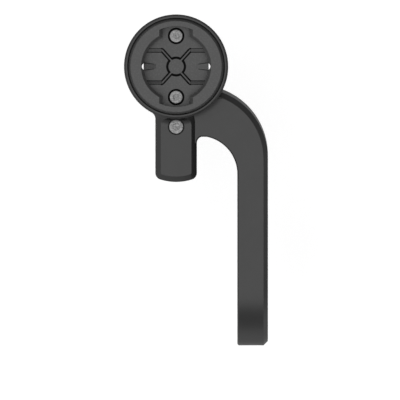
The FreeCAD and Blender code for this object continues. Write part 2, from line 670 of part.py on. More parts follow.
def cut_insert_floor(body):
    """Side fields, ramps, ribs between grooves and the ring groove of the insert's floor."""
    floor = "insert_floor"
    signs = [(x, y) for x in ("", "-") for y in ("", "-")]
    ring = "(boss_radius + ring_width / 2)"
    side = "((rib_width + groove_width) / 2)"
    along = "sqrt(%s^2 - (%s - rib_offset)^2)" % (ring, side)
    reach = "sqrt(undercut_radius^2 - wing_half^2)"

    wings = new_sketch(body, "side_fields", lift=floor)
    for sign, turn in (("", 1), ("-", -1)):
        upper, lower = (polar(along, "(-%s)" % side, sign, flip) for flip in ("", "-"))
        corners = [upper, (sign + "ramp_inner", "wing_half"), (sign + reach, "wing_half"),
                   (sign + reach, "-wing_half"), (sign + "ramp_inner", "-wing_half"), lower]
        add_outline(wings, corners, {2: ("undercut_radius", turn), 5: (ring, -turn)})
    pocket(body, wings, "wing_drop")

    ramp_end = "sqrt(undercut_radius^2 - (wing_half + ramp_width)^2)"
    for sign in ("", "-"):
        ramps = new_sketch(body, "ramps", "YZ_Plane", lift=sign + "ramp_inner")
        for flip in ("", "-"):
            add_outline(ramps, [(flip + "wing_half", floor + " - wing_drop"),
                                (flip + "(wing_half + ramp_width)", floor), (flip + "wing_half", floor)])
        pocket(body, ramps, ramp_end + " - ramp_inner", upward=not sign)

    grooves = new_sketch(body, "rib_grooves", lift=floor)
    end = "(ramp_inner / cos(rib_angle))"
    near, far = "(rib_width / 2)", "(rib_width / 2 + groove_width)"
    for sign_x, sign_y in signs:
        for mark in ("", "-"):
            corners = [polar(place, "(%s%s)" % (mark, offset), sign_x, sign_y)
                       for place, offset in ((ring, near), (end, near), (end, far), (ring, far))]
            add_outline(grooves, corners)
    pocket(body, grooves, "groove_depth")

    channel = new_sketch(body, "ring_groove", lift=floor)
    add_circle(channel, "0", "0", "boss_radius + ring_width")
    add_circle(channel, "0", "0", "boss_radius")
    pocket(body, channel, "groove_depth")


def add_wedge(body, sign):
    """Detent wedge that rises outwards on a side field, and the slit at its outer end."""
    level = "(insert_floor - wing_drop)"
    ends = []
    for place, width, top in (("wedge_inner", "wedge_nose", "wing_drop / 10"),
                              ("wedge_outer", "wedge_heel", "wedge_rise")):
        section = new_sketch(body, "wedge_section", "YZ_Plane", lift=sign + place)
        add_box(section, "-%s / 2" % width, width + " / 2", level + " - wing_drop", level + " + " + top)
        ends.append(section)
    loft(body, *ends)
    slit = new_sketch(body, "slit", lift="insert_floor + recess_depth")
    outer = sign + "sqrt(slit_radius^2 - slit_width^2 / 4)"
    add_outline(slit, [(sign + "wedge_outer", "-slit_width / 2"), (outer, "-slit_width / 2"),
                       (outer, "slit_width / 2"), (sign + "wedge_outer", "slit_width / 2")],
                {1: ("slit_radius", 1 if sign else -1)})
    pocket(body, slit, "insert_floor + recess_depth")


def make_insert():
    """Quarter-turn socket: tabs enter at the notches and turn under the lip."""
    body = new_body("quarter_turn_insert", (HEAD_X, "head_reach", SEAT))
    top = "(insert_floor + recess_depth)"
    profile = new_sketch(body, "insert_profile", "XZ_Plane")
    corners = [("0", "0"), ("insert_radius", "0"), ("insert_radius", top + " - insert_bevel_depth"),
               ("insert_radius - insert_bevel", top), ("recess_radius + lead_in", top),
               ("recess_radius", top + " - lead_depth"), ("recess_radius", top + " - lip_thickness"),
               ("undercut_radius", top + " - lip_thickness"), ("undercut_radius", "insert_floor"),
               ("0", "insert_floor")]
    add_outline(profile, corners)
    revolve(body, profile)

    slots = []
    for lift, half in ((top + " - lip_thickness", "notch_half"), (top, "(notch_half + notch_lead)")):
        slot = new_sketch(body, "tab_slot", lift=lift)
        end = "sqrt(notch_radius^2 - %s^2)" % half
        add_outline(slot, [("-" + half, "-" + end), (half, "-" + end), (half, end), ("-" + half, end)],
                    {0: ("notch_radius", -1), 2: ("notch_radius", -1)})
        slots.append(slot)
    loft(body, *slots, cut=True)

    cut_insert_floor(body)
    for sign in ("", "-"):
        add_wedge(body, sign)
    screws = [("0", "insert_screw_offset"), ("0", "-insert_screw_offset")]
    cut_circles(body, "counterbores", "insert_floor", screws, "counterbore_radius",
                "insert_head_sink + insert_head_height")
    cut_circles(body, "screw_holes", "insert_floor", screws, "bolt_radius + screw_gap",
                "insert_floor")
    return body


def make_adapter():
    """Three-finger fork under the tongue, with its origin at the pivot."""
    body = new_body("accessory_adapter", (HEAD_X, PIVOT_Y, PIVOT_Z))
    underside = "pivot_drop"
    top = "(pivot_drop + adapter_base)"
    front = "(adapter_front - %s)" % PIVOT_Y
    base = new_sketch(body, "adapter_base_plan", lift=underside)
    add_box(base, "-%s / 2" % FORK, FORK + " / 2", "-finger_radius", front)
    pad(body, base, "adapter_base")
    key = new_sketch(body, "adapter_key", lift=top)
    add_box(key, "-key_width / 2", "key_width / 2", "%s - %s" % (KEY_REAR, PIVOT_Y),
            "%s - %s" % (KEY_FRONT, PIVOT_Y))
    pad(body, key, "key_height")
    finger = new_sketch(body, "finger_profile", "YZ_Plane")
    add_outline(finger, [("-finger_radius", underside), ("-finger_radius", "0"), ("0", "-finger_radius"),
                         ("finger_radius", "0"), ("finger_radius", underside)],
                {1: ("finger_radius", -1), 2: ("finger_radius", -1)})
    pad(body, finger, FORK, symmetric=True)
    slots = new_sketch(body, "finger_slots", "XZ_Plane")
    left = "(-%s / 2 + finger_thickness)" % FORK
    right = "(%s / 2 - nut_finger)" % FORK
    add_box(slots, left, left + " + finger_gap", "-finger_radius - 1", underside)
    add_box(slots, right + " - finger_gap", right, "-finger_radius - 1", underside)
    pocket(body, slots, "2 * finger_radius + 2", symmetric=True)
    bore = new_sketch(body, "pivot_bore", "YZ_Plane")
    add_circle(bore, "0", "0", "pivot_radius")
    pocket(body, bore, FORK + " + 2", symmetric=True)
    pocket_sketch = new_sketch(body, "nut_pocket", "YZ_Plane", lift=FORK + " / 2")
    add_hexagon(pocket_sketch, "(nut_flats + 2 * nut_gap)")
    pocket(body, pocket_sketch, "nut_thickness")
    cut_circles(body, "adapter_thread", top + " + key_height", [("0", "%s - %s" % (SCREW_Y, PIVOT_Y))],
                "bolt_radius + thread_gap", "key_height + adapter_base")
    return body


def make_nut():
    body = new_body("adapter_nut", ("%s + %s / 2 - nut_thickness" % (HEAD_X, FORK), PIVOT_Y, PIVOT_Z))
    plan = new_sketch(body, "nut_plan", "YZ_Plane")
    add_hexagon(plan, "nut_flats")
    add_circle(plan, "0", "0", "pivot_radius")
    pad(body, plan, "nut_thickness")
    return body


def make_screws():
    """The three visible screws and the two clamp bolts with their washers."""
    made = []
    for end, sign in (("front", ""), ("rear", "-")):
        place = (HEAD_X, "head_reach + (%sinsert_screw_offset)" % sign,
                 "%s - insert_head_sink - insert_head_height" % FLOOR)
        made.append(make_screw("insert_screw_" + end, place, "insert_head_radius",
                               "insert_head_height", "insert_screw_length", "insert_socket"))
        place = ("0", sign + "bolt_offset", BOLT_SEAT)
        made.append(make_screw("clamp_bolt_" + end, place, "bolt_head_radius", "bolt_head_height",
                               "bolt_length", "bolt_socket", turned=True))
        made.append(make_washer("clamp_washer_" + end, place))
    place = (HEAD_X, SCREW_Y, "%s - adapter_screw_sink - bolt_head_height" % TONGUE_TOP)
    made.append(make_screw("adapter_screw", place, "bolt_head_radius", "bolt_head_height",
                           "adapter_screw_length", "bolt_socket"))
    return made


pieces = [make_arm_body(), make_insert(), make_adapter(), make_nut(), make_lower_jaw(),
          make_liner("upper_bar_liner", 1), make_liner("lower_bar_liner", -1)] + make_screws()

doc.recompute()
for item in doc.Objects:
    if "Invalid" in item.State or "Error" in item.State:
        raise ValueError("object failed: " + item.Name)
for piece in pieces:
    if piece.Shape.isNull() or not piece.Shape.isValid() or len(piece.Shape.Solids) != 1:
        raise ValueError("bad solid: " + piece.Label)

os.makedirs("parts", exist_ok=True)
for piece in pieces:
    piece.Shape.exportStep("parts/%s.step" % piece.Label)
    print(piece.Label, round(piece.Shape.Volume, 2))
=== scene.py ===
import math
import bmesh
import bpy
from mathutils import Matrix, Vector


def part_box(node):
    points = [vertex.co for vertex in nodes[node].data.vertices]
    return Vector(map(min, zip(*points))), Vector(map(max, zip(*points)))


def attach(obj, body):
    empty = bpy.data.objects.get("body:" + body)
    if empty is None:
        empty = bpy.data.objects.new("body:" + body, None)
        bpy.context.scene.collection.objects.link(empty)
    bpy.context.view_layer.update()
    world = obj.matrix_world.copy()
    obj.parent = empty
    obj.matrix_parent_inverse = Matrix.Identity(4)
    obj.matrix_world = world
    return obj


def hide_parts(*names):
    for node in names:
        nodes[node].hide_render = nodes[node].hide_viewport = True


# Handlebar mount for a bike computer. The machined and rubber pieces and the fork keep their
# form and get their finishes here. The screws, washers and nut are modelled again with their
# threads, knurls and edges, and the insert gets the fine relief of its floor.

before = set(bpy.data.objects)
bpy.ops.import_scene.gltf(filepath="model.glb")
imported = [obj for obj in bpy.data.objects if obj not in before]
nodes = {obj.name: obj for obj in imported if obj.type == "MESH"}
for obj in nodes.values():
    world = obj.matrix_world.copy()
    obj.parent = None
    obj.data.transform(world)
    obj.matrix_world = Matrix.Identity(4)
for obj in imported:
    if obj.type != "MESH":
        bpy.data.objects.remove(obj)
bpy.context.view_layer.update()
mm = 0.001
print("frame loaded:", len(nodes), "nodes")


# Materials

def linearColour(hexColour):
    # sRGB hex to the linear values that shaders use
    channels = [int(hexColour[start:start + 2], 16) / 255 for start in (1, 3, 5)]
    linear = [c / 12.92 if c <= 0.04045 else ((c + 0.055) / 1.055) ** 2.4 for c in channels]
    return linear + [1.0]


def addNode(tree, kind, settings=None, inputs=None):
    # an input is named, or numbered where names repeat, and takes a value or the output
    # socket that feeds it
    node = tree.nodes.new(kind)
    for name, value in (settings or {}).items():
        setattr(node, name, value)
    for name, value in (inputs or {}).items():
        if isinstance(value, bpy.types.NodeSocket):
            tree.links.new(value, node.inputs[name])
        else:
            node.inputs[name].default_value = value
    return node


def newMaterial(name):
    material = bpy.data.materials.new(name)
    material.use_nodes = True
    tree = material.node_tree
    tree.nodes.clear()
    output = addNode(tree, "ShaderNodeOutputMaterial")
    return material, tree, output


def grainScale(millimetres):
    # noise scale that gives grains of a real size, in object coordinates in metres
    return 1 / (millimetres * mm)


anodisedLook = {
    "colour": "#4c4c4c", "colourUneven": "#494949", "unevenSize": 9.0, "edgeTint": "#c4c4c4",
    "roughness": (0.38, 0.46), "grainSize": 0.3, "grainHeight": 0.004,
}


def makeAnodised(look):
    # Black anodised aluminium, blasted with glass beads: an even charcoal with a soft, wide
    # highlight. The real grain of 0.08 mm is drawn at 0.3 mm so that it shows.
    material, tree, output = newMaterial("beadBlastedAnodisedAluminium")
    place = addNode(tree, "ShaderNodeTexCoord").outputs["Object"]
    grain = addNode(tree, "ShaderNodeTexNoise", None, {
        "Vector": place, "Scale": grainScale(look["grainSize"]), "Detail": 3.0, "Roughness": 0.6})
    cloud = addNode(tree, "ShaderNodeTexNoise", None, {
        "Vector": place, "Scale": grainScale(look["unevenSize"]), "Detail": 2.0})
    colour = addNode(tree, "ShaderNodeMix", {"data_type": "RGBA"}, {
        "Factor": cloud.outputs["Fac"], 6: linearColour(look["colour"]),
        7: linearColour(look["colourUneven"])})
    rough = addNode(tree, "ShaderNodeMapRange", None, {
        "Value": grain.outputs["Fac"], "From Min": 0.3, "From Max": 0.7,
        "To Min": look["roughness"][0], "To Max": look["roughness"][1]})
    bump = addNode(tree, "ShaderNodeBump", None, {
        "Height": grain.outputs["Fac"], "Strength": 0.5, "Distance": look["grainHeight"] * mm})
    shader = addNode(tree, "ShaderNodeBsdfPrincipled", None, {
        "Base Color": colour.outputs[2], "Metallic": 1.0, "Roughness": rough.outputs["Result"],
        "Specular Tint": linearColour(look["edgeTint"]), "Normal": bump.outputs["Normal"]})
    tree.links.new(shader.outputs[0], output.inputs["Surface"])
    return material


nylonLooks = {
    "insert": {"name": "glassFilledNylon", "colour": "#4b4b4b", "fibre": "#545454",
               "textureSize": 0.5, "fleckSize": 0.8, "roughness": 0.42, "gloss": 0.5,
               # painted shade: the near-black colour painted into the groove bottoms, and the
               # band of heights in mm where it is painted
               "height": 0.012, "paintedShadeColour": "#101010", "deepRoughness": 1.0,
               "paintedShadeLevels": (23.0, 24.8)},
    "adapter": {"name": "adapterNylon", "colour": "#454545", "fibre": "#4e4e4e",
                "textureSize": 0.45, "fleckSize": 0.72, "roughness": 0.5, "gloss": 0.5,
                "height": 0.01},
}


def makeNylon(look):
    # Injection-moulded nylon with glass fibre: satin, with a fine eroded mould texture and
    # short fibres that show as slightly lighter flecks. Both are drawn at twice their real
    # size, so that they show.
    material, tree, output = newMaterial(look["name"])
    place = addNode(tree, "ShaderNodeTexCoord").outputs["Object"]
    texture = addNode(tree, "ShaderNodeTexNoise", None, {
        "Vector": place, "Scale": grainScale(look["textureSize"]), "Detail": 4.0,
        "Roughness": 0.65})
    flecks = addNode(tree, "ShaderNodeTexVoronoi", {"feature": "F1"}, {
        "Vector": place, "Scale": grainScale(look["fleckSize"]), "Randomness": 1.0})
    fleckMask = addNode(tree, "ShaderNodeMapRange", None, {
        "Value": flecks.outputs["Distance"], "From Min": 0.5, "From Max": 0.15})
    colour = addNode(tree, "ShaderNodeMix", {"data_type": "RGBA"}, {
        "Factor": fleckMask.outputs["Result"], 6: linearColour(look["colour"]),
        7: linearColour(look["fibre"])})
    skin, rough = colour.outputs[2], look["roughness"]
    if "paintedShadeLevels" in look:
        # painted shade: in a band of heights below the socket's floor the colour turns nearly
        # black, which darkens the bottoms of the narrow grooves and the rings round the screw
        # heads as shade would; the surface there is also made fully rough
        low, high = look["paintedShadeLevels"]
        height = addNode(tree, "ShaderNodeSeparateXYZ", None, {"Vector": place}).outputs["Z"]
        paintedShadeBand = addNode(tree, "ShaderNodeMath", {"operation": "COMPARE"}, {
            0: height, 1: (low + high) / 2 * mm, 2: (high - low) / 2 * mm}).outputs[0]
        skin = addNode(tree, "ShaderNodeMix", {"data_type": "RGBA"}, {
            "Factor": paintedShadeBand, 6: skin, 7: linearColour(look["paintedShadeColour"])}).outputs[2]
        rough = addNode(tree, "ShaderNodeMapRange", None, {
            "Value": paintedShadeBand, "To Min": look["roughness"],
            "To Max": look["deepRoughness"]}).outputs["Result"]
    bump = addNode(tree, "ShaderNodeBump", None, {
        "Height": texture.outputs["Fac"], "Strength": 0.6, "Distance": look["height"] * mm})
    shader = addNode(tree, "ShaderNodeBsdfPrincipled", None, {
        "Base Color": skin, "Roughness": rough, "IOR": 1.53,
        "Specular IOR Level": look["gloss"], "Normal": bump.outputs["Normal"]})
    tree.links.new(shader.outputs[0], output.inputs["Surface"])
    return material


steelLook = {"colour": "#aaaaaa", "dark": "#5c5c5c", "roughness": (0.3, 0.5), "dentSize": 0.7,
             "dentHeight": 0.012}


def makeSteel(look):
    # Stainless steel, tumbled after heading: grey and satin, with small soft dents that catch
    # the light unevenly.
    material, tree, output = newMaterial("tumbledStainlessSteel")
    place = addNode(tree, "ShaderNodeTexCoord").outputs["Object"]
    dents = addNode(tree, "ShaderNodeTexNoise", None, {
        "Vector": place, "Scale": grainScale(look["dentSize"]), "Detail": 2.0, "Roughness": 0.5})
    colour = addNode(tree, "ShaderNodeMix", {"data_type": "RGBA"}, {
        "Factor": dents.outputs["Fac"], 6: linearColour(look["colour"]),
        7: linearColour(look["dark"])})
    rough = addNode(tree, "ShaderNodeMapRange", None, {
        "Value": dents.outputs["Fac"], "From Min": 0.3, "From Max": 0.7,
        "To Min": look["roughness"][0], "To Max": look["roughness"][1]})
    bump = addNode(tree, "ShaderNodeBump", None, {
        "Height": dents.outputs["Fac"], "Strength": 0.4, "Distance": look["dentHeight"] * mm})
    shader = addNode(tree, "ShaderNodeBsdfPrincipled", None, {
        "Base Color": colour.outputs[2], "Metallic": 1.0, "Roughness": rough.outputs["Result"],
        "Normal": bump.outputs["Normal"]})
    tree.links.new(shader.outputs[0], output.inputs["Surface"])
    return material


rubberLook = {"colour": "#262626", "bloom": "#2e2e2e", "roughness": 0.72, "bloomSize": 3.0,
              "grainSize": 0.25, "height": 0.01}


def makeRubber(look):
    # Moulded EPDM rubber: near black and dull, with a faint grey bloom in patches.
    material, tree, output = newMaterial("mouldedRubber")
    place = addNode(tree, "ShaderNodeTexCoord").outputs["Object"]
    bloom = addNode(tree, "ShaderNodeTexNoise", None, {
        "Vector": place, "Scale": grainScale(look["bloomSize"]), "Detail": 3.0})
    grain = addNode(tree, "ShaderNodeTexNoise", None, {
        "Vector": place, "Scale": grainScale(look["grainSize"]), "Detail": 2.0})
    colour = addNode(tree, "ShaderNodeMix", {"data_type": "RGBA"}, {
        "Factor": bloom.outputs["Fac"], 6: linearColour(look["colour"]),
        7: linearColour(look["bloom"])})
    bump = addNode(tree, "ShaderNodeBump", None, {
        "Height": grain.outputs["Fac"], "Strength": 0.5, "Distance": look["height"] * mm})
    shader = addNode(tree, "ShaderNodeBsdfPrincipled", None, {
        "Base Color": colour.outputs[2], "Roughness": look["roughness"], "IOR": 1.5,
        "Normal": bump.outputs["Normal"]})
    tree.links.new(shader.outputs[0], output.inputs["Surface"])
    return material


anodised = makeAnodised(anodisedLook)
insertNylon = makeNylon(nylonLooks["insert"])
adapterNylon = makeNylon(nylonLooks["adapter"])
steel = makeSteel(steelLook)
rubber = makeRubber(rubberLook)


def dress(item, material):
    item.data.materials.clear()
    item.data.materials.append(material)


for name, material in (("arm_body", anodised), ("lower_jaw", anodised),
                       ("accessory_adapter", adapterNylon), ("upper_bar_liner", rubber),
                       ("lower_bar_liner", rubber)):
    dress(nodes[name], material)
print("materials on the pieces that keep their form")


# Tools for the pieces that are modelled here, all in millimetres

tolerance = 0.0001  # points this near lie level, or are one
smoothAngle = 30.0  # an edge that turns by more degrees stays sharp


def startPart():
    if bpy.context.object and bpy.context.object.mode == "EDIT":
        bpy.ops.object.mode_set(mode="OBJECT")
    bpy.ops.object.select_all(action="DESELECT")


def choose(item):
    startPart()
    item.select_set(True)
    bpy.context.view_layer.objects.active = item


def addCylinder(sides, radius, low, high):
    startPart()
    bpy.ops.mesh.primitive_cylinder_add(vertices=sides, radius=radius, depth=high - low,
                                        location=(0, 0, (low + high) / 2))
    bpy.ops.object.transform_apply(location=True)
    return bpy.context.object


def pick(item, kind, test):
    # edit mode on the item with only the faces, edges or points selected that the test takes
    choose(item)
    bpy.ops.object.mode_set(mode="EDIT")
    bpy.ops.mesh.select_mode(type=kind)
    bpy.ops.mesh.select_all(action="DESELECT")
    mesh = bmesh.from_edit_mesh(item.data)
    for part in {"VERT": mesh.verts, "EDGE": mesh.edges, "FACE": mesh.faces}[kind]:
        if test(part):
            part.select_set(True)
    mesh.select_flush_mode()
    bmesh.update_edit_mesh(item.data)


def anything(part):
    return True


def atHeight(height):
    return lambda part: all(abs(corner.co.z - height) < tolerance for corner in part.verts)


def combine(item, tool, operation):
    choose(item)
    change = item.modifiers.new("cut", "BOOLEAN")
    change.operation = operation
    change.solver = "EXACT"
    change.object = tool
    bpy.ops.object.modifier_apply(modifier=change.name)
    bpy.data.objects.remove(tool)


def nodeBox(node):
    # a CAD node's lowest and highest corners
    low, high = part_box(node)
    return low / mm, high / mm


def placePart(item, name, node, place, body, turn=(0, 0, 0), material=steel,
              smooth=smoothAngle):
    # to metres, turned and moved to the place of the node that it then stands for
    choose(item)
    bpy.ops.object.shade_smooth_by_angle(angle=math.radians(smooth))
    item.scale = (mm, mm, mm)
    item.rotation_euler = turn
    item.location = Vector(place) * mm
    bpy.ops.object.transform_apply(location=True, rotation=True, scale=True)
    item.name = item.data.name = name
    dress(item, material)
    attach(item, body)
    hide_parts(node)


# Fasteners, each modelled round the origin with its head up

# Core and crest are radii. The crest's flat is a share of the pitch, and the tip's radius is a
# share of the rod's.
thread = {"m3": {"pitch": 0.5, "core": 1.2, "crest": 1.48},
          "m5": {"pitch": 0.8, "core": 2.1, "crest": 2.5},
          "crestFlat": 0.125, "flank": 30.0, "steps": 24, "weld": 0.0005,
          "turnsBelow": 1.5, "turnsMore": 4, "tipHeight": 0.35, "tipRadius": 0.75}


def makeRod(size, low, high, pointed):
    # one turn's profile, wound up into a rod and cut off square at both ends
    pitch, core, crest = size["pitch"], size["core"], size["crest"]
    crestHalf = pitch * thread["crestFlat"] / 2
    rootHalf = crestHalf + (crest - core) * math.tan(math.radians(thread["flank"]))
    start = low - thread["turnsBelow"] * pitch
    startPart()
    bpy.ops.mesh.primitive_plane_add(size=1, rotation=(math.pi / 2, 0, 0))
    rod = bpy.context.object
    rod.scale = (crest - core, 2 * rootHalf, 1)
    rod.location = ((crest + core) / 2, 0, start)
    bpy.ops.object.transform_apply(location=True, rotation=True, scale=True)
    middle = (core + crest) / 2
    pick(rod, "EDGE", lambda edge: all(corner.co.x > middle for corner in edge.verts))
    bpy.ops.transform.resize(value=(1, 1, crestHalf / rootHalf), center_override=(0, 0, start))
    pick(rod, "FACE", anything)
    bpy.ops.mesh.delete(type="ONLY_FACE")
    pick(rod, "EDGE", lambda edge: all(corner.co.x < middle for corner in edge.verts))
    bpy.ops.mesh.delete(type="EDGE")
    pick(rod, "VERT", lambda corner: corner.co.x < middle and corner.co.z > start)
    bpy.ops.mesh.extrude_region_move(
        TRANSFORM_OT_translate={"value": (0, 0, pitch - 2 * rootHalf)})
    bpy.ops.object.mode_set(mode="OBJECT")
    winding = rod.modifiers.new("winding", "SCREW")
    winding.axis = "Z"
    winding.angle = 2 * math.pi
    winding.screw_offset = pitch
    winding.iterations = math.ceil((high - low) / pitch) + thread["turnsMore"]
    winding.steps = winding.render_steps = thread["steps"]
    bpy.ops.object.modifier_apply(modifier=winding.name)
    pick(rod, "FACE", anything)
    bpy.ops.mesh.remove_doubles(threshold=thread["weld"])
    lowCut = low + thread["tipHeight"] if pointed else low
    for height, below in ((lowCut, True), (high, False)):
        bpy.ops.mesh.select_all(action="SELECT")
        bpy.ops.mesh.bisect(plane_co=(0, 0, height), plane_no=(0, 0, 1), use_fill=True,
                            clear_inner=below, clear_outer=not below)
    if pointed:
        pick(rod, "FACE", atHeight(lowCut))
        bpy.ops.mesh.extrude_region_move(
            TRANSFORM_OT_translate={"value": (0, 0, -thread["tipHeight"])})
        bpy.ops.transform.resize(value=(thread["tipRadius"], thread["tipRadius"], 1),
                                 center_override=(0, 0, low))
    bpy.ops.mesh.select_all(action="SELECT")
    bpy.ops.mesh.normals_make_consistent(inside=False)
    bpy.ops.object.mode_set(mode="OBJECT")
    return rod


def cornerRadius(flats):
    # of a hexagon with this size across its flats
    return flats / math.sqrt(3)


# The socket's depth is a share of the head's height. The rim round its drilled point is a share
# of the size across the flats, and the point's tip is a share of the point's own width.
screwHead = {"sides": 48, "rim": 0.18, "rimSteps": 3, "underRim": 0.06, "knurlEdge": 0.05,
             "knurlDepth": 0.06, "rodInside": 0.3, "socketDepth": 0.5, "socketFlare": 0.08,
             "pointHeight": 0.35, "pointRim": 0.1, "pointTip": 0.15}


def makeScrew(radius, height, length, flats, knurled):
    head = addCylinder(screwHead["sides"], radius, 0.0, height)
    pick(head, "EDGE", atHeight(height))
    bpy.ops.mesh.bevel(offset=screwHead["rim"], segments=screwHead["rimSteps"], affect="EDGES")
    pick(head, "EDGE", atHeight(0.0))
    bpy.ops.mesh.bevel(offset=screwHead["underRim"], segments=1, affect="EDGES")
    if knurled:
        # the faces of the side are the only ones that are taller than half the head
        pick(head, "FACE", lambda face: max(corner.co.z for corner in face.verts)
             - min(corner.co.z for corner in face.verts) > height / 2)
        bpy.ops.mesh.inset(thickness=screwHead["knurlEdge"], depth=-screwHead["knurlDepth"],
                           use_individual=True)
    combine(head, makeRod(thread["m3"], -length, screwHead["rodInside"], True), "UNION")

    # hexagon socket with a flared mouth and a drilled point
    floor = height * (1 - screwHead["socketDepth"])
    flare, tip = screwHead["socketFlare"], screwHead["pointTip"]
    key = addCylinder(6, cornerRadius(flats), floor, height - flare)
    pick(key, "FACE", atHeight(height - flare))
    bpy.ops.mesh.extrude_region_move(TRANSFORM_OT_translate={"value": (0, 0, 2 * flare)})
    wider = 1 + 2 * flare / cornerRadius(flats)
    bpy.ops.transform.resize(value=(wider, wider, 1), center_override=(0, 0, height))
    pick(key, "FACE", atHeight(floor))
    bpy.ops.mesh.inset(thickness=flats * screwHead["pointRim"])
    bpy.ops.mesh.extrude_region_move(
        TRANSFORM_OT_translate={"value": (0, 0, -screwHead["pointHeight"])})
    bpy.ops.transform.resize(value=(tip, tip, 1), center_override=(0, 0, floor))
    combine(head, key, "DIFFERENCE")
    return head


washer = {"hole": 1.6, "sides": 64, "edge": 0.06}


def makeWasher(radius, hole, thickness):
    # blanked from sheet: the faces' edges are slightly rounded over
    disc = addCylinder(washer["sides"], radius, 0.0, thickness)
    pick(disc, "FACE", lambda face: len(face.verts) > 4)
    bpy.ops.mesh.inset(thickness=radius - hole)
    bpy.ops.mesh.bridge_edge_loops()
    pick(disc, "EDGE", lambda edge: abs(edge.verts[0].co.z - edge.verts[1].co.z) < tolerance
         and abs(edge.verts[0].co.xy.length - edge.verts[1].co.xy.length) < tolerance)
    bpy.ops.mesh.bevel(offset=washer["edge"], segments=2, affect="EDGES")
    return disc


# a mouth is a little wider than the thread, and the turned disc than the corners
nut = {"sides": 64, "turned": 0.45, "turnedWider": 0.02, "rodLonger": 0.5, "mouth": 0.25,
       "mouthWider": 0.05}


def makeNut(flats, thickness):
    # thin hexagon nut: corners turned down at both faces, and a thread with countersunk mouths
    body = addCylinder(6, cornerRadius(flats), 0.0, thickness)
    turned = addCylinder(nut["sides"], cornerRadius(flats) + nut["turnedWider"], 0.0, thickness)
    pick(turned, "EDGE", lambda edge: atHeight(0.0)(edge) or atHeight(thickness)(edge))
    bpy.ops.mesh.bevel(offset=nut["turned"], segments=1, affect="EDGES")
    combine(body, turned, "INTERSECT")
    combine(body, makeRod(thread["m5"], -nut["rodLonger"], thickness + nut["rodLonger"], False),
            "DIFFERENCE")
    mouthRadius = thread["m5"]["crest"] + nut["mouthWider"]
    narrow = thread["m5"]["core"] / mouthRadius
    for face, inner in ((0.0, nut["mouth"]), (thickness, thickness - nut["mouth"])):
        mouth = addCylinder(nut["sides"], mouthRadius, face - nut["mouth"], face + nut["mouth"])
        pick(mouth, "FACE", atHeight(inner))
        bpy.ops.transform.resize(value=(narrow, narrow, 1), center_override=(0, 0, inner))
        combine(body, mouth, "DIFFERENCE")
    return body


def copyPart(item):
    startPart()
    twin = item.copy()
    twin.data = item.data.copy()
    bpy.context.scene.collection.objects.link(twin)
    return twin


def underHead(node, headHeight, turned):
    # point on the screw's axis under its head
    low, high = nodeBox(node)
    middle = (low + high) / 2
    middle.z = low.z + headHeight if turned else high.z - headHeight
    return middle


# head height and socket of each kind of screw; radii and lengths are those of the CAD nodes
lowHead = {"height": 1.8, "flats": 2.0, "knurled": False, "slot": "stainless_screw"}
capHead = {"height": 3.0, "flats": 2.5, "knurled": True, "slot": "stainless_screw"}
clampBolt = {"height": 3.0, "flats": 2.5, "knurled": True, "slot": "stainless_fastener"}


def makeScrews(look, body, turned, places):
    low, high = nodeBox(places[0][1])
    first = makeScrew((high.x - low.x) / 2, look["height"], high.z - low.z - look["height"],
                      look["flats"], look["knurled"])
    items = [first] + [copyPart(first) for place in places[1:]]
    for item, (name, node) in zip(items, places):
        placePart(item, name, node, underHead(node, look["height"], turned), body,
                  turn=(math.pi if turned else 0, 0, 0))


makeScrews(lowHead, "mount", False, [("frontInsertScrew", "insert_screw_front"),
                                     ("rearInsertScrew", "insert_screw_rear")])
makeScrews(capHead, "mount", False, [("adapterCapScrew", "adapter_screw")])
makeScrews(clampBolt, "lower_clamp", True, [("frontClampBolt", "clamp_bolt_front"),
                                            ("rearClampBolt", "clamp_bolt_rear")])
print("screws")

low, high = nodeBox("clamp_washer_front")
frontWasher = makeWasher((high.x - low.x) / 2, washer["hole"], high.z - low.z)
for item, name, node in ((frontWasher, "frontClampWasher", "clamp_washer_front"),
                         (copyPart(frontWasher), "rearClampWasher", "clamp_washer_rear")):
    low, high = nodeBox(node)
    placePart(item, name, node, ((low.x + high.x) / 2, (low.y + high.y) / 2, low.z),
              "lower_clamp")

low, high = nodeBox("adapter_nut")
placePart(makeNut(high.z - low.z, high.x - low.x), "thinNut", "adapter_nut",
          (low.x, (low.y + high.y) / 2, (low.z + high.z) / 2), "mount",
          turn=(0, math.pi / 2, 0))
print("washers and nut")


# Socket: the insert's own form, with the fine relief of its floor

# Points are measured from the socket's axis and repeat on its four sides. Tops and bottoms
# are depths below its face. The bridges carry the ribs on to the centre disc.
socketRelief = {
    "lines": {"besideRampOutside": {"start": (5.8, 6.95), "end": (13.0, 6.95), "width": 0.2},
              "besideRampInside": {"start": (5.75, 5.5), "end": (13.0, 5.5), "width": 0.3},
              "besideWedge": {"start": (8.6, 0.94), "end": (12.9, 1.47), "width": 0.2}},
    "lineTop": 2.5, "lineBottom": 5.4,
    "curl": {"radius": 1.3, "angle": 51.0, "width": 0.55, "bottom": 6.1, "steps": 5},
    "bridge": {"angle": 48.0, "aside": 0.2, "start": 2.8, "end": 4.0, "width": 0.54,
               "top": 4.305, "bottom": 6.4},
    "slit": {"inner": 12.55, "outer": 13.2, "radius": 1.4, "sides": 40, "fillInner": 12.45,
             "fillOuter": 13.3, "fillWidth": 2.0, "fillTop": 5.3, "fillBottom": 7.4,
             "rodLonger": 0.5},
    "smoothAngle": 12.0,
}


def addBlock(middle, start, end, width, top, bottom):
    # between two points seen from above, and two depths below the middle
    startPart()
    start, end = Vector(start), Vector(end)
    centre = (start + end) / 2
    bpy.ops.mesh.primitive_cube_add(size=1, location=(
        middle.x + centre.x, middle.y + centre.y, middle.z - (top + bottom) / 2))
    block = bpy.context.object
    block.scale = ((end - start).length, width, bottom - top)
    block.rotation_euler = (0, 0, math.atan2(end.y - start.y, end.x - start.x))
    bpy.ops.object.transform_apply(location=True, rotation=True, scale=True)
    return block


